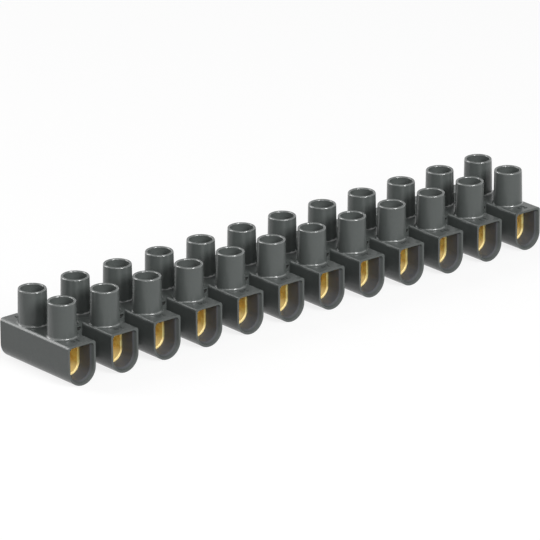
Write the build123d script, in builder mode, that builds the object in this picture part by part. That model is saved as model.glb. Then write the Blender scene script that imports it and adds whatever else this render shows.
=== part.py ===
"""Twelve-way terminal strip: one moulded housing, brass inserts and clamping screws.

Frame: X along the strip, Y along the wires, Z up. The origin is the middle of the
strip's underside, so the poles rest on Z = 0. All sizes are in millimetres.
"""

from build123d import *
import os

os.makedirs("parts", exist_ok=True)

# Strip
pole_count = 12
pitch = 10.0

# One pole: a straight tube with a flat roof and a half-round floor
pole_width = 6.35
pole_length = 20.3
roof_height = 8.15
roof_edge_radius = 0.6
rim_width = 0.4
lead_in = 0.38
lead_in_depth = 0.8
passage_corner_radius = 0.3

# Screw chimneys on the roof
chimney_spacing = 8.7
chimney_top = 15.0
chimney_top_radius = 2.7
chimney_foot_radius = 2.84
chimney_bore_top_radius = 2.2
chimney_bore_foot_radius = 2.12
chimney_foot_fillet = 0.3

# Webs between the poles: a round boss with a hole for a mounting screw
boss_radius = 2.45
mounting_hole_radius = 1.65
mounting_hole_chamfer = 0.15
cut_groove_radius = 0.36
cut_groove_length = 2.3
cut_groove_height = 7.5

# Brass inserts
insert_recess = 3.8
insert_clearance = 0.05
insert_wall = 0.4
insert_lead_in = 0.1
wire_bore_roof = 5.9
wire_bore_corner_radius = 0.15
thread_radius = 1.5

# Clamping screws, modelled backed out so that a wire can go in
shank_radius = 1.45
shank_length = 5.1
tip_chamfer = 0.25
head_radius = 2.0
head_height = 1.7
head_edge_radius = 0.2
slot_width = 0.6
slot_depth = 0.8
tip_height = 5.45

# A screw stops wherever it was turned to: degrees of its slot from one pole, or row, to the next
slot_turn_per_pole = 67
slot_turn_per_row = 100

# Worked out from the sizes above
web_count = pole_count - 1
pole_radius = pole_width / 2
wall = rim_width + lead_in
passage_half_width = pole_radius - wall
passage_roof = roof_height - wall
insert_length = pole_length - 2 * insert_recess
insert_half_width = passage_half_width - insert_clearance
insert_floor = wall + insert_clearance
wire_bore_half_width = insert_half_width - insert_wall
wire_bore_floor = insert_floor + insert_wall
lip_radius = (chimney_top_radius - chimney_bore_top_radius) / 2
head_underside = tip_height + shank_length
head_top = head_underside + head_height


def tunnel_section(half_width, floor, roof):
    """A flat-roofed outline with a half-round floor, drawn in the open sketch."""
    spring_line = floor + half_width
    with Locations((0, spring_line)):
        Circle(half_width)
        Rectangle(2 * half_width, roof - spring_line, align=(Align.CENTER, Align.MIN))


def roof_corners(sketch):
    """The corners along the top of every outline in a sketch."""
    return sketch.vertices().group_by(Axis.Y)[-1]


# A chimney's outside: a slightly tapered post, started inside the roof's thickness
with BuildPart() as chimney_post:
    with BuildSketch(Plane.XZ):
        with BuildLine():
            post_foot = roof_height - roof_edge_radius
            lip_start = (chimney_top_radius, chimney_top - lip_radius)
            lip_crest = (chimney_top_radius - lip_radius, chimney_top)
            Polyline((0, chimney_top), (0, post_foot), (chimney_foot_radius, post_foot), lip_start)
            RadiusArc(lip_start, lip_crest, -lip_radius)
            Line(lip_crest, (0, chimney_top))
        make_face()
    revolve(axis=Axis.Z)

# A chimney's bore, with the inner half of the rounded rim
with BuildPart() as chimney_bore:
    with BuildSketch(Plane.XZ):
        with BuildLine():
            bore_end = passage_roof - lip_radius
            lip_start = (chimney_bore_top_radius, chimney_top - lip_radius)
            lip_crest = (chimney_bore_top_radius + lip_radius, chimney_top)
            Polyline((0, chimney_top), (0, bore_end), (chimney_bore_foot_radius, bore_end), lip_start)
            RadiusArc(lip_start, lip_crest, lip_radius)
            Line(lip_crest, (0, chimney_top))
        make_face()
    revolve(axis=Axis.Z)

# One pole: the tube, its two chimneys with filleted feet, and the wire passage through it
with BuildPart() as pole:
    with BuildSketch(Plane.XZ) as outline:
        tunnel_section(pole_radius, 0, roof_height)
        fillet(roof_corners(outline), roof_edge_radius)
    extrude(amount=pole_length / 2, both=True)

    with GridLocations(1, chimney_spacing, 1, 2):
        add(chimney_post.part)
    seams = pole.edges(Select.LAST).filter_by(GeomType.LINE, reverse=True)
    fillet(
        seams.filter_by_position(Axis.Z, roof_height - roof_edge_radius, roof_height + lip_radius),
        chimney_foot_fillet,
    )

    with BuildSketch(Plane.XZ) as passage:
        tunnel_section(passage_half_width, wall, passage_roof)
        fillet(roof_corners(passage), passage_corner_radius)
    extrude(amount=pole_length, both=True, mode=Mode.SUBTRACT)

    ends = pole.faces().filter_by(Axis.Y).sort_by(Axis.Y)
    for end in (ends[0], ends[-1]):
        chamfer(end.inner_wires()[0].edges(), length=lead_in, length2=lead_in_depth, reference=end)

    with GridLocations(1, chimney_spacing, 1, 2):
        add(chimney_bore.part, mode=Mode.SUBTRACT)

# Housing: one moulding of twelve poles joined by eleven webs
with BuildPart() as housing:
    with BuildSketch(Plane.XY):
        with GridLocations(pitch, 0, web_count, 1):
            Circle(boss_radius)
    extrude(amount=roof_height)

    with GridLocations(pitch, 0, pole_count, 1):
        add(pole.part)

    with Locations((0, 0, roof_height)):
        with GridLocations(pitch, 0, web_count, 1):
            CounterSinkHole(
                mounting_hole_radius,
                mounting_hole_radius + mounting_hole_chamfer,
                roof_height,
                90,
            )

    for side in (-1, 1):
        with Locations((0, side * boss_radius, cut_groove_height)):
            with GridLocations(pitch, 0, web_count, 1):
                Cylinder(
                    cut_groove_radius,
                    cut_groove_length,
                    rotation=(0, 90, 0),
                    mode=Mode.SUBTRACT,
                )
housing.part.label = "housing"
export_step(housing.part, "parts/housing.step")

pole_places = [(i - (pole_count - 1) / 2) * pitch for i in range(pole_count)]

# Brass inserts: a tunnel-shaped tube in each passage, tapped for two screws
for number, place in enumerate(pole_places, start=1):
    with BuildPart() as insert:
        with BuildSketch(Plane.XZ.move(Location((place, 0, 0)))) as body:
            tunnel_section(insert_half_width, insert_floor, passage_roof)
            fillet(roof_corners(body), passage_corner_radius + insert_clearance)
        extrude(amount=insert_length / 2, both=True)
        with BuildSketch(Plane.XZ.move(Location((place, 0, 0)))) as wire_bore:
            tunnel_section(wire_bore_half_width, wire_bore_floor, wire_bore_roof)
            fillet(roof_corners(wire_bore), wire_bore_corner_radius)
        extrude(amount=insert_length, both=True, mode=Mode.SUBTRACT)
        ends = insert.faces().filter_by(Axis.Y).sort_by(Axis.Y)
        bore_rims = ends[0].inner_wires()[0].edges() + ends[-1].inner_wires()[0].edges()
        chamfer(bore_rims, insert_lead_in)
        with Locations((place, 0, passage_roof)):
            with GridLocations(1, chimney_spacing, 1, 2):
                Hole(thread_radius, depth=passage_roof - wire_bore_roof + insert_wall)
    insert.part.label = f"insert_{number:02d}"
    export_step(insert.part, f"parts/insert_{number:02d}.step")

# Clamping screws: a slotted head in the chimney and a shank that turns in the insert
for row, side in (("front", -1), ("back", 1)):
    for number, place in enumerate(pole_places, start=1):
        y = side * chimney_spacing / 2
        slot_turn = slot_turn_per_pole * number + slot_turn_per_row * side
        with BuildPart() as screw:
            with BuildSketch(Plane((place, y, tip_height))):
                Circle(shank_radius)
            extrude(amount=shank_length)
            chamfer(screw.edges().sort_by(Axis.Z)[0], tip_chamfer)
            with BuildSketch(Plane((place, y, head_underside))):
                Circle(head_radius)
            extrude(amount=head_height)
            fillet(screw.edges().group_by(Axis.Z)[-1], head_edge_radius)
            with BuildSketch(Plane((place, y, head_top))):
                Rectangle(2 * head_radius + 1, slot_width, rotation=slot_turn)
            extrude(amount=-slot_depth, mode=Mode.SUBTRACT)
        screw.part.label = f"screw_{row}_{number:02d}"
        export_step(screw.part, f"parts/screw_{row}_{number:02d}.step")
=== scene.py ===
# %% [markdown]
# # A twelve-way terminal strip
#
# The object is a moulded strip with twelve wire tunnels. A brass insert sits in each tunnel, and two
# slotted screws clamp the wires in it. The solids come ready made and stay where they are, so this lesson
# is about everything that makes them look real: moulded plastic, machined brass, plated steel, and the
# small forms that a solid leaves out, such as the thread of a screw.

# %% Load the solids
import math

import bmesh
import bpy
from mathutils import Matrix, Vector


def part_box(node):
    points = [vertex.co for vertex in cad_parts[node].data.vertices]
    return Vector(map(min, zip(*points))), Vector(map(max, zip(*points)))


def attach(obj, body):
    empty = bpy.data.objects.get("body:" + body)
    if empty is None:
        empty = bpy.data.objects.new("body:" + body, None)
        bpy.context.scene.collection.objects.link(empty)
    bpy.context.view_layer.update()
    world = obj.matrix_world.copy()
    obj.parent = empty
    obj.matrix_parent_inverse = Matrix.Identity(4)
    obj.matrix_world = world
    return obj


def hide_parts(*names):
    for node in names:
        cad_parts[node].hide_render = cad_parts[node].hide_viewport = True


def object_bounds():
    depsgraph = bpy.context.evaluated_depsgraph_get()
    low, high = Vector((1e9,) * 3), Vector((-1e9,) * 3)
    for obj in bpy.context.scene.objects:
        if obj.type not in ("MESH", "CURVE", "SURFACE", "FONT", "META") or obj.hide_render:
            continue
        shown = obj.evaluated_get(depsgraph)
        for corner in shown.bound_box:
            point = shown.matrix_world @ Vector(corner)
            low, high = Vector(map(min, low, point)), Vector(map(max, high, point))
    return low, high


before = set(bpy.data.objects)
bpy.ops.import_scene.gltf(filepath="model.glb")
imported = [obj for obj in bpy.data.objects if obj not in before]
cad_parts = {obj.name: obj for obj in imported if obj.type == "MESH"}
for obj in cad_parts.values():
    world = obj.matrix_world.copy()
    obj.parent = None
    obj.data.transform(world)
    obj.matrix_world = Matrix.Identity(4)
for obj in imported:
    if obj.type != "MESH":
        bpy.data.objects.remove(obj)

MM = 0.001
solid_low, solid_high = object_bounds()
print("solids", len(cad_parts), "box in mm", [round(v / MM, 2) for v in solid_high - solid_low])

# %% [markdown]
# ## What the solids tell us
#
# Every new piece has to sit on the solids, so its place is read from them and isn't typed in again. A
# node's box gives the middle of each screw and each insert, and the pitch is the step from one insert to
# the next. Only the roof lies inside the housing's box, where no box tells its height, so that height is
# repeated from the drawing.

# %% Read the sizes
inserts = sorted(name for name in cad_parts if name.startswith("insert_"))
screws = sorted(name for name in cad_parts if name.startswith("screw_"))


def middle(node):
    """The centre of a node's box."""
    low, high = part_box(node)
    return (low + high) / 2


pitch = middle(inserts[1]).x - middle(inserts[0]).x
chimney_y = abs(middle(screws[0]).y)
chimney_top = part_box("housing")[1].z
roof_height = 8.15 * MM
screw_low, screw_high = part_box(screws[0])
head_radius = (screw_high.x - screw_low.x) / 2
print("pitch", round(pitch / MM, 3), "chimneys at", round(chimney_y / MM, 3))
print("screw", round((screw_high.z - screw_low.z) / MM, 3), "long, head radius", round(head_radius / MM, 3))

# %% [markdown]
# ## The camera
#
# The photograph was taken with a long lens from the front left, a little above the strip. A long lens
# could be faked with an orthographic camera, but the far poles are slightly smaller than the near ones,
# so a perspective camera a metre away is used. It is turned in three steps: round the strip, up from the
# table, and a touch of roll.

# %% Place the camera
camera_turn = math.radians(-39.93)
camera_rise = math.radians(20.33)
camera_roll = math.radians(-0.345)
camera_distance = 1092.4 * MM
camera_target = Vector((-1.706, 0.0, 6.706)) * MM
sensor_width = 36.0
picture_width = 540
focal_pixels = 5778.5

turned = (
    Matrix.Rotation(camera_turn, 4, "Z")
    @ Matrix.Rotation(math.pi / 2 - camera_rise, 4, "X")
    @ Matrix.Rotation(camera_roll, 4, "Z")
)
camera = bpy.data.objects.new("camera", bpy.data.cameras.new("camera"))
camera.data.sensor_width = sensor_width
camera.data.lens = focal_pixels / picture_width * sensor_width
camera.matrix_world = Matrix.Translation(camera_target + turned.col[2].to_3d() * camera_distance) @ turned
bpy.context.scene.collection.objects.link(camera)
bpy.context.scene.camera = camera
bpy.context.scene.view_settings.view_transform = "Standard"
print("lens", round(camera.data.lens, 1), "mm")

# %% [markdown]
# ## Writing shader maths
#
# A material is a tree of nodes. Wiring each Math node by hand takes three lines and hides the formula.
# Here a small class wraps a node's output, so that `1 - mask * 0.5` adds its own nodes, and one method
# adds any other node.

# %% Shader tools
class Value:
    """An output of a node, on which arithmetic adds Math nodes."""

    def __init__(self, finish, output):
        self.finish = finish
        self.output = output

    def math(self, operation, *others):
        return self.finish.math(operation, self, *others)

    def __add__(self, other):
        return self.math("ADD", other)

    def __sub__(self, other):
        return self.math("SUBTRACT", other)

    def __mul__(self, other):
        return self.math("MULTIPLY", other)

    def __rsub__(self, other):
        return self.finish.math("SUBTRACT", other, self)

    __radd__ = __add__
    __rmul__ = __mul__


class Finish:
    """One procedural material and the way its nodes are added."""

    def __init__(self, name, owner=None):
        self.owner = owner or bpy.data.materials.new(name)
        self.owner.use_nodes = True
        self.tree = self.owner.node_tree
        self.tree.nodes.clear()

    def node(self, kind, settings=None, **values):
        """Adds a node: its settings come first, then the value or link of each socket."""
        made = self.tree.nodes.new(kind)
        for name, setting in (settings or {}).items():
            setattr(made, name, setting)
        for name, value in values.items():
            wanted = name.replace("_", " ")
            socket = next(s for s in made.inputs if s.name == wanted and s.enabled)
            if isinstance(value, Value):
                self.tree.links.new(value.output, socket)
            else:
                socket.default_value = value
        return made

    def out(self, made, name):
        """The enabled output of a node that has this name."""
        return Value(self, next(s for s in made.outputs if s.name == name and s.enabled))

    def math(self, operation, *values):
        made = self.tree.nodes.new("ShaderNodeMath")
        made.operation = operation
        for socket, value in zip(made.inputs, values):
            if isinstance(value, Value):
                self.tree.links.new(value.output, socket)
            else:
                socket.default_value = value
        return self.out(made, "Value")

    def place(self):
        """The point being shaded, in metres, as a vector and as three numbers."""
        point = self.out(self.node("ShaderNodeTexCoord"), "Object")
        parts = self.node("ShaderNodeSeparateXYZ", Vector=point)
        return point, [self.out(parts, axis) for axis in "XYZ"]

    def noise(self, point, size, detail=2.0, stretch=(1.0, 1.0, 1.0)):
        """Soft random values about 0.5, whose blots are about this size in metres."""
        scaled = self.node("ShaderNodeMapping", Vector=point, Scale=tuple(s / size for s in stretch))
        at = self.out(scaled, "Vector")
        return self.out(self.node("ShaderNodeTexNoise", Vector=at, Scale=1.0, Detail=detail), "Fac")

    def blend(self, factor, first, second):
        """A colour between two others."""
        made = self.node("ShaderNodeMix", {"data_type": "RGBA"}, Factor=factor, A=first, B=second)
        return self.out(made, "Result")

    def rise(self, value, low, high):
        """Zero below one value, one above another, and a soft step between them."""
        made = self.node(
            "ShaderNodeMapRange",
            {"interpolation_type": "SMOOTHSTEP"},
            Value=value,
            From_Min=low,
            From_Max=high,
        )
        return self.out(made, "Result")

    def band(self, value, start, full, fading, gone):
        """One between two values, with a soft step at each end."""
        return self.rise(value, start, full) * (1 - self.rise(value, fading, gone))

    def distance(self, first, second):
        """The length of the hypotenuse over two distances."""
        return self.math("SQRT", first * first + second * second)

    def bump(self, height, distance):
        """A Normal that follows a height from 0 to 1, which is this many metres deep."""
        made = self.node("ShaderNodeBump", Strength=1.0, Distance=distance, Height=height)
        return self.out(made, "Normal")

    def finish_with(self, shader, output="BSDF", kind="ShaderNodeOutputMaterial"):
        self.node(kind, Surface=self.out(shader, output))
        return self.owner


def colour(red, green, blue):
    return (red, green, blue, 1.0)


def paint(node, material):
    """Puts a material into every slot of a solid."""
    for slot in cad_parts[node].material_slots:
        slot.material = material


print("shader tools ready")

# %% [markdown]
# ## One material for many copies
#
# The poles, the webs and the screws repeat along X. A Wrap node takes the pitch out of X, so that one
# mask is right on every copy. Each function below gives a distance that the masks start from.

# %% Distances from what repeats
def from_pole(finish, x):
    """How far across a point is from the middle of its pole."""
    return finish.math("WRAP", x, pitch, 0.0) - pitch / 2


def from_chimney(finish, x, y):
    """How far a point is from the axis of its chimney."""
    return finish.distance(from_pole(finish, x), finish.math("ABSOLUTE", y) - chimney_y)


def from_web(finish, x, y):
    """How far a point is from the axis of its web, half a pitch from the poles."""
    return finish.distance(from_pole(finish, x + pitch / 2), y)


print("distances ready")

# %% [markdown]
# ## The white round the strip
#
# The strip stands on white. More light would make the floor white too, but it would bleach the plastic.
# So the floor and the world look white to the camera and to reflections only, through the Light Path
# node, and light the strip at a plain level. The floor still takes the strip's shadow.

# %% World and floor
ambient_level = 0.18
floor_own_white = 0.82
floor_grey = 0.2
floor_half_width = 1.5
white = colour(1, 1, 1)

world = bpy.data.worlds.new("studio")
bpy.context.scene.world = world


def seen_directly(finish):
    """One for what the camera sees, also in a mirror or through glass, and zero for soft light."""
    path = finish.node("ShaderNodeLightPath")
    seen = [finish.out(path, f"Is {kind} Ray") for kind in ("Camera", "Glossy", "Transmission")]
    return finish.math("MAXIMUM", finish.math("MAXIMUM", seen[0], seen[1]), seen[2])


studio = Finish("studio", world)
strength = ambient_level + seen_directly(studio) * (1 - ambient_level)
backdrop = studio.node("ShaderNodeBackground", Color=white, Strength=strength)
studio.finish_with(backdrop, "Background", "ShaderNodeOutputWorld")

table = Finish("white_table")
matt = table.node("ShaderNodeBsdfDiffuse", Color=colour(floor_grey, floor_grey, floor_grey))
glow = table.node("ShaderNodeEmission", Color=white, Strength=seen_directly(table) * floor_own_white)
both = table.node("ShaderNodeAddShader")
table.tree.links.new(matt.outputs[0], both.inputs[0])
table.tree.links.new(glow.outputs[0], both.inputs[1])
table.finish_with(both, "Shader")

form = bmesh.new()
bmesh.ops.create_grid(form, x_segments=1, y_segments=1, size=floor_half_width)
floor = bpy.data.objects.new("floor", bpy.data.meshes.new("floor"))
form.to_mesh(floor.data)
form.free()
floor.data.materials.append(table.owner)
bpy.context.scene.collection.objects.link(floor)
print("floor", 2 * floor_half_width, "m wide")

# %% [markdown]
# ## The lamps
#
# Small lamps would give hard glints, so all are softboxes: flat lamps whose shape shows in what is
# polished. The one straight in front of the mouths is the key, because the photograph shows it as a
# bright crescent on every chimney's foot, a little left of the middle. Two weaker boxes fill from the
# camera's side and from the left. A low, tall one behind draws the soft line along the first pole, and a
# faint one lifts the far rims.

# %% Lamps
lamp_distance = 0.8


def softbox(name, turn, rise, width, height, brightness):
    """A flat lamp aimed at the strip. Turn is measured like the camera's, and brightness 1 is white."""
    turn, rise = math.radians(turn), math.radians(rise)
    away = Vector((math.sin(turn) * math.cos(rise), -math.cos(turn) * math.cos(rise), math.sin(rise)))
    lamp = bpy.data.lights.new(name, "AREA")
    lamp.shape = "RECTANGLE"
    lamp.size, lamp.size_y = width, height
    lamp.energy = brightness * math.pi * width * height
    placed = bpy.data.objects.new(name, lamp)
    facing = away.to_track_quat("Z", "Y").to_matrix().to_4x4()
    placed.matrix_world = Matrix.Translation(camera_target + away * lamp_distance) @ facing
    bpy.context.scene.collection.objects.link(placed)
    return placed


lamps = [
    softbox("front_key", -3, 31, 0.26, 0.34, 19.0),
    softbox("camera_fill", -42, 27, 0.30, 0.30, 5.0),
    softbox("side_fill", -85, 30, 0.30, 0.30, 0.6),
    softbox("low_edge", -143, 24, 0.30, 0.80, 4.6),
    softbox("back", 180, 42, 0.45, 0.30, 0.8),
]
print("lamps", [lamp.name for lamp in lamps])

# %% [markdown]
# ## Where the plastic differs
#
# Four places differ from the plain moulding in the photograph. The rims of the chimneys and the fillets at
# their feet shine more than the flats, as turned and polished parts of a tool make them. The strip's two
# outer edges carry a soft bright line. The walls of the wire passages are dull, as a long core that is
# drawn out leaves them. The short grooves of the webs get painted shade, almost black.
#
# Only the first and the third have a known cause. The shine of the outer edges and the painted shade of the
# grooves were fitted to the photograph: the grooves' depth is a guess, and a deeper one would be dark by
# itself.
# The walls also get a bluer pigment than the rest, because yellow light from the brass turned them olive
# in the render while the photograph shows grey. It cancels a tint, and isn't the plastic's real colour.
#
# Other materials on single faces would end in hard lines, so each place gets a mask. It is worked out
# from heights and distances, fades softly, and fits whatever facets the solid has.

# %% Masks on the housing
# A band says where its mask starts, is full, begins to fade and is gone. A pair says where it does one.
rim_band = [chimney_top - below * MM for below in (0.35, 0.20, 0.075, 0.025)]
foot_band = [roof_height + above * MM for above in (0.02, 0.06, 0.30, 0.45)]
foot_reach = 3.14 * MM, 3.29 * MM
foot_polish = 0.9
outer_edge = solid_high.x - 0.60 * MM, solid_high.x - 0.42 * MM
outer_edge_height = roof_height - 0.60 * MM, roof_height - 0.48 * MM
outer_edge_polish = 0.28
groove_band = [height * MM for height in (7.09, 7.19, 7.81, 7.91)]
web_band = [reach * MM for reach in (1.80, 1.90, 2.33, 2.41)]
last_web = solid_high.x - 0.55 * pitch, solid_high.x - 0.50 * pitch
passage_spring_line = 3.175 * MM
passage_reach = 2.445 * MM, 2.595 * MM
passage_roof = 7.40 * MM, 7.50 * MM


def polish_mask(plastic, x, y, z):
    """How well each place shines: the chimneys' rims and feet, and the strip's two outer edges."""
    near_foot = 1 - plastic.rise(from_chimney(plastic, x, y), *foot_reach)
    foot = near_foot * plastic.band(z, *foot_band)
    near_end = plastic.rise(plastic.math("ABSOLUTE", x), *outer_edge)
    edge = near_end * plastic.rise(z, *outer_edge_height)
    return plastic.band(z, *rim_band) + foot * foot_polish + edge * outer_edge_polish


def groove_shade_mask(plastic, x, y, z):
    """One in the short grooves of the webs, where their shade is painted."""
    between_poles = 1 - plastic.rise(plastic.math("ABSOLUTE", x), *last_web)
    on_web = plastic.band(from_web(plastic, x, y), *web_band)
    return on_web * between_poles * plastic.band(z, *groove_band)


def passage_mask(plastic, x, z):
    """One on the walls of the wire passages, flat above the spring line and round below it."""
    below_spring_line = plastic.math("MINIMUM", z - passage_spring_line, 0.0)
    reach = plastic.distance(from_pole(plastic, x), below_spring_line)
    return (1 - plastic.rise(reach, *passage_reach)) * (1 - plastic.rise(z, *passage_roof))


print("masks ready, rims from", round(rim_band[0] / MM, 2), "mm up")

# %% [markdown]
# ## Moulded plastic
#
# The housing is a stiff grey plastic, moulded in a polished tool. One flat colour would look like paint,
# so four slight things vary: the pigment, the gloss, a fine texture left by the tool, and faint flow
# ripples where the melt met. They stay slight, because from a step away the strip is plain grey. The
# polish is a coat over the plastic, while the passage walls change the plastic itself and the grooves
# get painted shade in its colour.

# %% Plastic finish
pigments = ((0.076, 0.084, 0.081), (0.095, 0.105, 0.101))
wall_pigment = colour(0.104, 0.107, 0.120)
# Painted shade: the colour of the webs' short grooves, near black.
painted_groove_shade = colour(0.012, 0.012, 0.011)
wall_cover, wall_dullness = 0.8, 0.25
groove_shade_cover = 0.9
texture_depth = 0.004 * MM


def moulded_plastic(name, depth, gloss, polished=1.0):
    """The housing's plastic: a depth under 1 darkens it as painted shade, and polished scales the coat of
    the rims.
    """
    plastic = Finish(name)
    point, (x, y, z) = plastic.place()
    speckle = plastic.noise(point, 0.25 * MM, detail=3.0)
    cloud = plastic.noise(point, 6.0 * MM)
    grain = plastic.noise(point, 0.06 * MM, detail=4.0)
    ripple = plastic.noise(point, 1.6 * MM, detail=1.0, stretch=(1.0, 0.35, 1.0))
    wall = passage_mask(plastic, x, z)
    groove_shade = groove_shade_mask(plastic, x, y, z)
    low, high = (colour(*(level * depth for level in pigment)) for pigment in pigments)
    moulded = plastic.blend(speckle * 0.5 + cloud * 0.5, low, high)
    outside_grooves = plastic.blend(wall * wall_cover, moulded, wall_pigment)
    shader = plastic.node(
        "ShaderNodeBsdfPrincipled",
        # The base colour carries the grooves' painted shade.
        Base_Color=plastic.blend(groove_shade * groove_shade_cover, outside_grooves, painted_groove_shade),
        Roughness=gloss + (grain - 0.5) * 0.08 + (cloud - 0.5) * 0.05 + wall * wall_dullness,
        Specular_IOR_Level=0.35,
        Coat_Weight=polish_mask(plastic, x, y, z) * polished,
        Coat_Roughness=0.2,
        Coat_IOR=1.8,
        Normal=plastic.bump(grain * 0.6 + ripple * 0.4, texture_depth),
    )
    return plastic.finish_with(shader)


plastic_material = moulded_plastic("moulded_plastic", 1.0, 0.27)
# The numbers' colour is darkened to 0.6 as painted shade, and they get no polish.
number_painted_shade_material = moulded_plastic("eroded_plastic_painted_shade", 0.6, 0.55, 0.0)
paint("housing", plastic_material)
print("housing painted")

# %% [markdown]
# ## Brass
#
# The inserts are cut from a drawn brass profile. Drawing leaves fine lines along the wire, so the bump
# is a noise stretched along Y. Bare brass also dulls in the air: a thin oxide hides part of the metal,
# so it is a little brown and matt in places, and Metallic stays under one there. Low in the bore the
# brass gets painted light: it is made brighter, more golden and less metallic.

# %% Brass finish
# Painted light: below these heights the bore's floor is painted brighter, more golden and less metallic.
painted_light_full_height, painted_light_end_height = 2.2 * MM, 3.4 * MM
brown_brass, yellow_brass = colour(0.79, 0.60, 0.21), colour(0.92, 0.81, 0.36)
# The colour of the painted light low in the bore.
painted_lit_brass = colour(0.99, 0.78, 0.34)
drawing_depth = 0.006 * MM


def drawn_brass():
    brass = Finish("drawn_brass")
    point, (_, _, z) = brass.place()
    lines = brass.noise(point, 0.12 * MM, detail=3.0, stretch=(1.0, 0.03, 1.0))
    stain = brass.noise(point, 1.2 * MM, detail=3.0)
    patches = brass.rise(stain, 0.40, 0.62)
    uneven_height = z + (stain - 0.5) * (2.0 * MM)
    # The band of painted light low in the bore, with an uneven upper edge.
    painted_light = 1 - brass.rise(uneven_height, painted_light_full_height, painted_light_end_height)
    dull = brass.blend(patches, brown_brass, yellow_brass)
    shader = brass.node(
        "ShaderNodeBsdfPrincipled",
        Base_Color=brass.blend(painted_light, dull, painted_lit_brass),
        Metallic=(0.55 + stain * 0.30) * (1 - painted_light * 0.8),
        Roughness=0.34 + stain * 0.14 + lines * 0.08,
        Normal=brass.bump(lines, drawing_depth),
    )
    return brass.finish_with(shader)


brass_material = drawn_brass()
for name in inserts:
    paint(name, brass_material)
print("inserts painted", len(inserts))

# %% [markdown]
# ## Plated steel
#
# The screws are turned steel with a thin zinc plating. Turning leaves rings on the head. All screws
# share one material, whose rings follow the distance from the nearest chimney's axis.

# %% Steel finish
turning_step, turning_depth = 0.08 * MM, 0.003 * MM
cool_zinc, warm_zinc = colour(0.44, 0.45, 0.47), colour(0.62, 0.61, 0.57)


def plated_steel():
    steel = Finish("plated_steel")
    point, (x, y, _) = steel.place()
    rings = steel.math("SINE", from_chimney(steel, x, y) * (2 * math.pi / turning_step)) * 0.5 + 0.5
    mottle = steel.noise(point, 0.5 * MM, detail=3.0)
    shader = steel.node(
        "ShaderNodeBsdfPrincipled",
        Base_Color=steel.blend(mottle, cool_zinc, warm_zinc),
        Metallic=1.0,
        Roughness=0.30 + mottle * 0.14,
        Normal=steel.bump(rings, turning_depth),
    )
    return steel.finish_with(shader)


steel_material = plated_steel()
for name in screws:
    paint(name, steel_material)
print("screws painted", len(screws))

# %% [markdown]
# ## Screws with a real thread
#
# A clamping screw is turned, threaded and then slotted. The solid screws are plain: a smooth shank stands
# for the M3 thread. A thread can't be made by copying rings, because it climbs. Blender's spin can climb
# too: one radial outline of all the ridges is turned once round the axis and lifted by exactly one pitch,
# so its end meets its own start one ridge higher. The ends are then cut flat, and the tip is turned down
# to a cone.

# %% Tools for turned forms
round_steps = 32
weld = 0.002 * MM


def outline(form, points):
    """A chain of edges through points given as radius and height."""
    corners = [form.verts.new((radius, 0.0, height)) for radius, height in points]
    return corners + [form.edges.new(pair) for pair in zip(corners, corners[1:])]


def turn_round(form, points, steps, climb=0.0, closed=False):
    """Spins an outline once round Z, which climbs by this much, and welds what meets."""
    bmesh.ops.spin(
        form,
        geom=outline(form, points),
        axis=(0, 0, 1),
        cent=(0, 0, 0),
        angle=2 * math.pi,
        steps=steps,
        dvec=(0, 0, climb / steps),
        use_merge=closed,
    )
    bmesh.ops.remove_doubles(form, verts=form.verts, dist=weld)


def keep_between(form, low, high):
    """Cuts a closed shell flat at two heights and caps it."""
    for height, up in ((low, -1.0), (high, 1.0)):
        everything = form.verts[:] + form.edges[:] + form.faces[:]
        cut = bmesh.ops.bisect_plane(
            form,
            geom=everything,
            plane_co=(0, 0, height),
            plane_no=(0, 0, up),
            clear_outer=True,
        )
        edge_loop = [part for part in cut["geom_cut"] if isinstance(part, bmesh.types.BMEdge)]
        bmesh.ops.edgeloop_fill(form, edges=edge_loop)


def as_object(form, name):
    """Turns a bmesh into an object at the origin and frees the bmesh."""
    mesh = bpy.data.meshes.new(name)
    form.to_mesh(mesh)
    form.free()
    made = bpy.data.objects.new(name, mesh)
    bpy.context.scene.collection.objects.link(made)
    return made


print("turning in", round_steps, "steps")

# %% The threaded shank
thread_pitch = 0.5 * MM
thread_radius = 1.45 * MM
thread_root_radius = 1.17 * MM
thread_flat = 0.08 * MM
shank_length = 5.1 * MM
tip_chamfer = 0.25 * MM
shank_overlap = 0.1 * MM


def threaded_shank():
    """A shank from its tip at zero, with a V thread and a chamfered tip."""
    form = bmesh.new()
    # The outline begins below the tip and ends above the head's foot, so that both ends can be cut flat
    ridges = round(shank_length / thread_pitch) + 3
    points = []
    for ridge in range(ridges):
        foot = (ridge - 1.5) * thread_pitch
        middle_height = foot + thread_pitch / 2
        points.append((thread_root_radius, foot - thread_flat / 2))
        points.append((thread_root_radius, foot + thread_flat / 2))
        points.append((thread_radius, middle_height - thread_flat / 2))
        points.append((thread_radius, middle_height + thread_flat / 2))
    points.append((thread_root_radius, points[-1][1] + thread_pitch / 2 - thread_flat))
    turn_round(form, points, round_steps, climb=thread_pitch)
    keep_between(form, 0.0, shank_length + shank_overlap)
    for corner in form.verts:
        flat = Vector((corner.co.x, corner.co.y))
        widest = thread_radius - tip_chamfer + corner.co.z
        if flat.length > widest:
            corner.co.xy = flat.normalized() * widest
    bmesh.ops.recalc_face_normals(form, faces=form.faces)
    return form


print("shank", round(shank_length / MM, 2), "mm, thread pitch", thread_pitch / MM)

# %% [markdown]
# ## The slotted head
#
# A head is turned on a lathe and its slot is sawn afterwards. The same order works here: the head is spun
# from its half outline, and a Boolean modifier saws the slot. The saw leaves round corners along the
# slot's floor, so its cutter has them too.

# %% Head and slot
head_height = 1.7 * MM
head_edge_radius = 0.2 * MM
head_edge_steps = 4
under_head_chamfer = 0.08 * MM
slot_width, slot_depth = 0.6 * MM, 0.8 * MM
slot_corner_radius = 0.08 * MM


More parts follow.
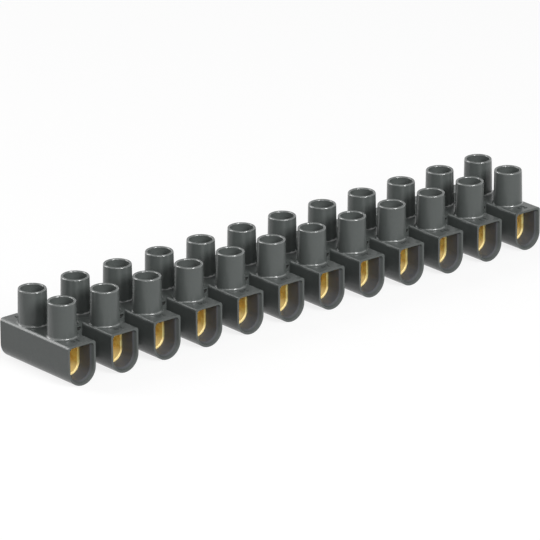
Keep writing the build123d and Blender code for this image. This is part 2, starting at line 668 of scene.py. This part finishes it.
def turned_head():
    """The head alone, standing on the end of the shank, with its top edge rounded."""
    form = bmesh.new()
    foot, top = shank_length, shank_length + head_height
    points = [(0.0, foot), (head_radius - under_head_chamfer, foot)]
    points.append((head_radius, foot + under_head_chamfer))
    for step in range(head_edge_steps + 1):
        turn = math.pi / 2 * step / head_edge_steps
        inward = head_edge_radius * (1 - math.cos(turn))
        down = head_edge_radius * (1 - math.sin(turn))
        points.append((head_radius - inward, top - down))
    points.append((0.0, top))
    turn_round(form, points, 2 * round_steps, closed=True)
    bmesh.ops.recalc_face_normals(form, faces=form.faces)
    return form


def slot_cutter():
    """The saw's path across the head, with its lower edges slightly rounded."""
    form = bmesh.new()
    bmesh.ops.create_cube(form, size=1.0)
    size = (2.5 * head_radius, slot_width, 2 * slot_depth)
    bmesh.ops.scale(form, vec=size, verts=form.verts)
    low_edges = [
        edge
        for edge in form.edges
        if all(corner.co.z < 0 for corner in edge.verts) and abs(edge.verts[0].co.x - edge.verts[1].co.x) > 0
    ]
    bmesh.ops.bevel(
        form,
        geom=low_edges,
        offset=slot_corner_radius,
        segments=2,
        profile=0.5,
        affect="EDGES",
        material=-1,
    )
    bmesh.ops.translate(form, vec=(0, 0, shank_length + head_height), verts=form.verts)
    return form


print("head", round(2 * head_radius / MM, 2), "mm wide, slot", round(slot_width / MM, 2))


# %% One screw
def boolean(target, operation, tool):
    """Joins or cuts one closed object with another, and removes the other."""
    change = target.modifiers.new(operation, "BOOLEAN")
    change.operation = operation
    change.solver = "EXACT"
    change.object = tool
    seen = target.evaluated_get(bpy.context.evaluated_depsgraph_get())
    result = bpy.data.meshes.new_from_object(seen)
    target.modifiers.clear()
    target.data = result
    bpy.data.objects.remove(tool)


master_screw = as_object(turned_head(), "master_screw")
boolean(master_screw, "DIFFERENCE", as_object(slot_cutter(), "slot_cutter"))
boolean(master_screw, "UNION", as_object(threaded_shank(), "threaded_shank"))
measures = [round(v / MM, 3) for v in master_screw.dimensions]
print("one screw", len(master_screw.data.polygons), "faces", measures)

# %% [markdown]
# ## A screw for every chimney
#
# Twenty-four copies of one screw would look stamped if all slots pointed the same way. A screw stops
# wherever it was turned to, so the solids turn each slot by a fixed step from pole to pole, and the same
# step is used here. The mesh itself is turned and moved, and the object stays at the origin.

# %% Place the screws
slot_turn_per_pole = 67
slot_turn_per_row = 100


def fit_screw(node):
    """Copies the master screw to the place and turn of a solid screw, and stands for it."""
    _, row, number = node.split("_")
    side = 1 if row == "back" else -1
    turn = math.radians(slot_turn_per_pole * int(number) + slot_turn_per_row * side)
    low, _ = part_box(node)
    foot = Vector((middle(node).x, middle(node).y, low.z))
    screw = bpy.data.objects.new(f"threaded_screw_{row}_{number}", master_screw.data.copy())
    screw.data.transform(Matrix.Translation(foot) @ Matrix.Rotation(turn, 4, "Z"))
    bpy.context.scene.collection.objects.link(screw)
    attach(screw, node)
    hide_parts(node)
    screw.data.materials.clear()
    screw.data.materials.append(steel_material)
    return screw


threaded_screws = [fit_screw(node) for node in screws]
bpy.data.objects.remove(master_screw)
print("screws placed", len(threaded_screws))

# %% [markdown]
# ## Numbers on the roofs
#
# Each pole carries its number of two raised digits on the roof, read from the side where the wires go in.
# In the tool they are eroded by sparks and not cut, so their faces are matt. They take a plastic without
# polish whose colour is darkened as painted shade, so that they show as dark marks on the roof. Digits drawn
# in the bump would be blurred, so they are real forms. Blender's text is a curve: it is given its thickness,
# turned into a mesh, and then moved to its roof. A digit is about 0.7 of its font's size high, so the size
# is the wanted height times 1.4.

# %% Raised numbers
number_height = 1.15 * MM
letter_spacing = 1.35
number_relief = 0.09 * MM
number_edge_radius = 0.02 * MM
number_y = 8.5 * MM
font_size_of_height = 1.4


def raised_number(text, place, side):
    """One number as a mesh, its middle at a point of the roof; side -1 reads from the front."""
    curve = bpy.data.curves.new("number", "FONT")
    curve.body = text
    curve.size = number_height * font_size_of_height
    curve.extrude = number_relief
    curve.bevel_depth = number_edge_radius
    curve.bevel_resolution = 1
    curve.resolution_u = 3
    curve.space_character = letter_spacing
    curve.align_x, curve.align_y = "CENTER", "CENTER"
    letters = bpy.data.objects.new("number", curve)
    mesh = bpy.data.meshes.new_from_object(letters)
    turn = Matrix.Rotation(0.0 if side < 0 else math.pi, 4, "Z")
    mesh.transform(Matrix.Translation((place, side * number_y, roof_height)) @ turn)
    bpy.data.objects.remove(letters)
    bpy.data.curves.remove(curve)
    return mesh


def number_row(name, side):
    """All numbers of one side as one object of the moulding."""
    form = bmesh.new()
    for index, node in enumerate(inserts, start=1):
        mesh = raised_number(f"{index:02d}", middle(node).x, side)
        form.from_mesh(mesh)
        bpy.data.meshes.remove(mesh)
    row = as_object(form, name)
    row.data.materials.append(number_painted_shade_material)
    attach(row, "strip")
    return row


number_rows = [number_row("pole_numbers_front", -1), number_row("pole_numbers_back", 1)]
print("numbers", [len(row.data.polygons) for row in number_rows], "faces")
